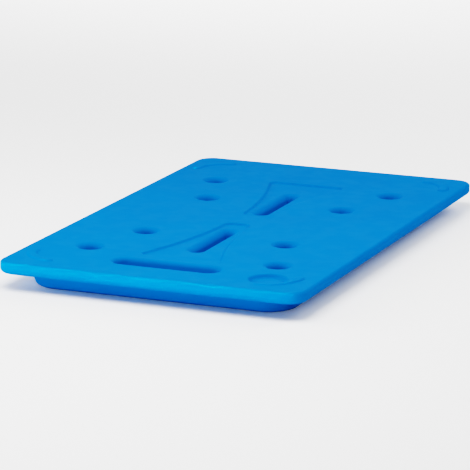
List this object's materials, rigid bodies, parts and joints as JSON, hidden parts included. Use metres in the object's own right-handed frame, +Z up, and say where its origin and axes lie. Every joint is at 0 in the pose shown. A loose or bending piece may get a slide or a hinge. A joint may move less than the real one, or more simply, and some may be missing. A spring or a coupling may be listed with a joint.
{
  "type": "reusable ice pack",
  "caption": "Sealed gel-filled cold plate of gastronorm size: flat rim over a narrower well, with round kiss-offs, flared panels, slots, a finger grip and raised corner rings.",
  "frame": {"origin": "middle of the flat underside of the well", "axes": "+X across the front edge towards the filler recess's side, +Y from the finger grip's edge to the back, +Z up out of the top face"},
  "size_m": [0.325, 0.53, 0.03],
  "materials": {
    "blue_polyethylene": "satin moulded polyethylene, smooth with a soft sheen"
  },
  "bodies": {
    "root": {"cold_plate": "blue_polyethylene"}
  },
  "joints": []
}
